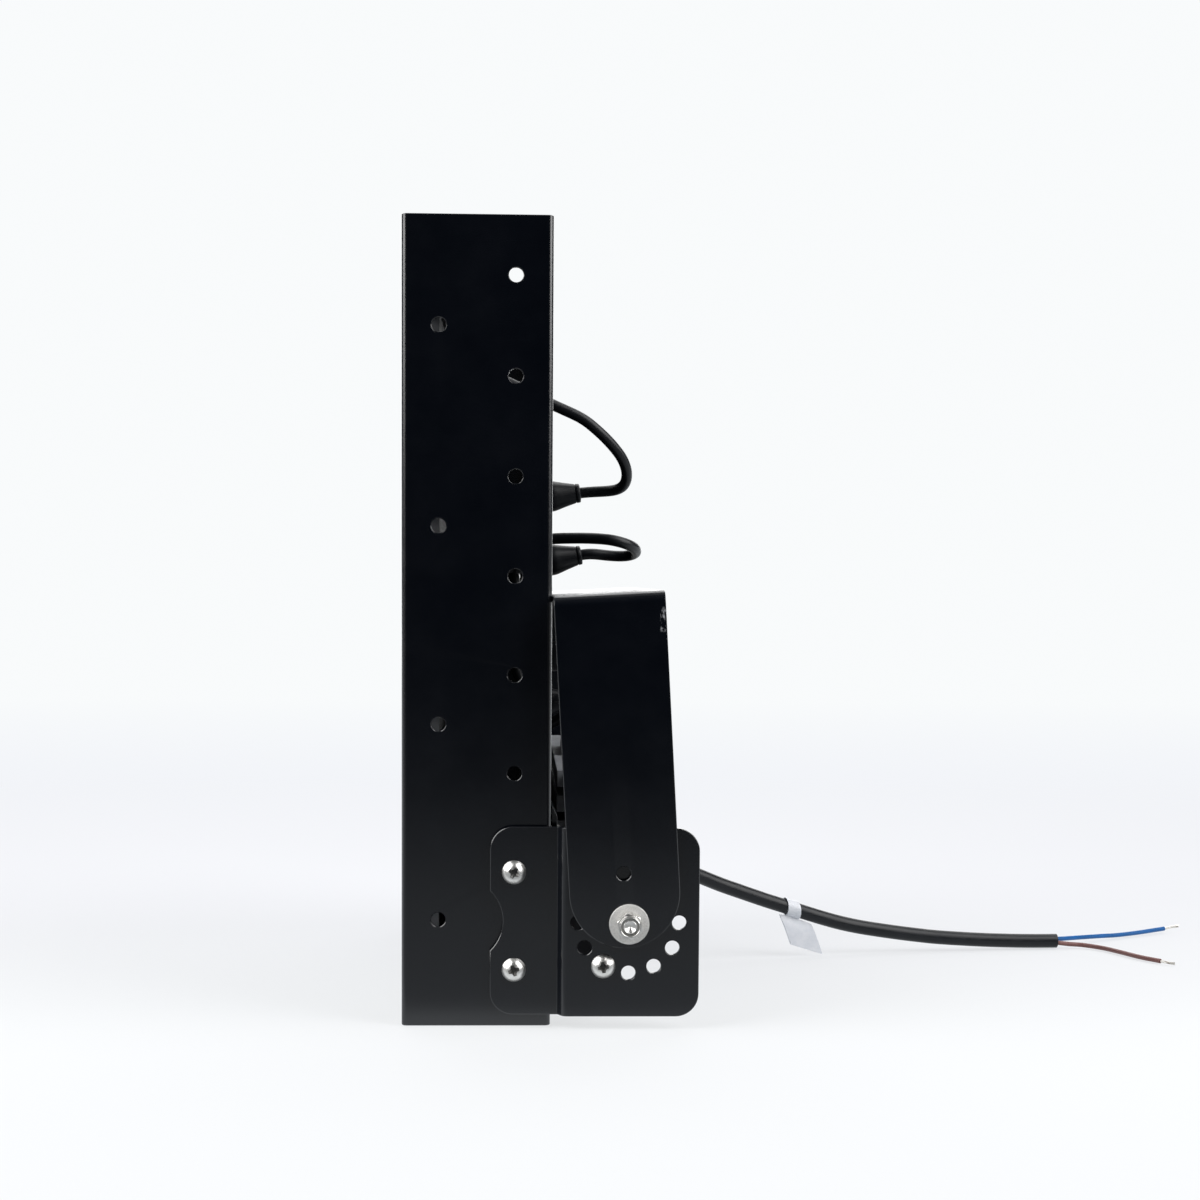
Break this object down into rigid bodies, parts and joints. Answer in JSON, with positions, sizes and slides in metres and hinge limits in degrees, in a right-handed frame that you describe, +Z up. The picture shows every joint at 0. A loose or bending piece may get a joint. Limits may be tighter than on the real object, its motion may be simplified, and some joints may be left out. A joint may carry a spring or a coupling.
{
  "type": "led flood light",
  "caption": "Modular LED flood light with finned light modules between folded side frames, a ribbed driver behind and a U-shaped mounting yoke that tilts and locks with screws",
  "frame": {"origin": "on the surface that the lamp stands on, under the middle of its depth and width, cord left out", "axes": "+Z up along the side frames, +X from the light's front towards its back, +Y across the width"},
  "size_m": [0.424, 0.3334, 0.35],
  "materials": {
    "black_coat": "satin black powder coat",
    "aluminium": "black anodised extrusion",
    "grey_cast": "grey anodised",
    "stainless": "bright",
    "board": "white mask",
    "clear_plastic": "clear moulded",
    "silicone": "matt",
    "black_rubber": "smooth",
    "black_plastic": "fine grain",
    "potting": "matt",
    "blue_core": "smooth",
    "brown_core": "smooth",
    "white_label": "bare film"
  },
  "bodies": {
    "lamp": {"blue_core": "blue_core", "bracket_left": "black_coat", "bracket_right": "black_coat", "bracket_screw_left_high": "stainless", "bracket_screw_left_low": "stainless", "bracket_screw_right_high": "stainless", "bracket_screw_right_low": "stainless", "brown_core": "brown_core", "cord_tag": "white_label", "driver_board": "potting", "driver_cap_left": "black_plastic", "driver_cap_right": "black_plastic", "driver_case": "grey_cast", "driver_glands": "black_plastic", "driver_lead_1": "black_rubber", "driver_lead_2": "black_rubber", "driver_lead_3": "black_rubber", "driver_lead_4": "black_rubber", "driver_plate": "black_coat", "heatsink_1": "aluminium", "heatsink_2": "aluminium", "heatsink_3": "aluminium", "heatsink_4": "aluminium", "led_board_1": "board", "led_board_2": "board", "led_board_3": "board", "led_board_4": "board", "lens_gasket_1": "silicone", "lens_gasket_2": "silicone", "lens_gasket_3": "silicone", "lens_gasket_4": "silicone", "lens_plate_1": "clear_plastic", "lens_plate_2": "clear_plastic", "lens_plate_3": "clear_plastic", "lens_plate_4": "clear_plastic", "lock_nut_left": "stainless", "lock_nut_right": "stainless", "lock_screw_left": "stainless", "lock_screw_right": "stainless", "module_gland_1": "black_plastic", "module_gland_2": "black_plastic", "module_gland_3": "black_plastic", "module_gland_4": "black_plastic", "module_lead_1": "black_rubber", "module_lead_2": "black_rubber", "module_lead_3": "black_rubber", "module_lead_4": "black_rubber", "pivot_bolt_left": "stainless", "pivot_bolt_right": "stainless", "pivot_nut_left": "stainless", "pivot_nut_right": "stainless", "pivot_washer_left": "stainless", "pivot_washer_right": "stainless", "side_frame_left": "black_coat", "side_frame_right": "black_coat", "supply_cord": "black_rubber", "supply_gland": "black_plastic"},
    "yoke": {"yoke": "black_coat"}
  },
  "joints": [
    {"name": "yoke_tilt", "type": "hinge", "parent": "lamp", "child": "yoke", "pos_m": [0.03405, 0, 0.04675], "axis": [0, 1, 0], "range_deg": [0, 93.34]}
  ]
}
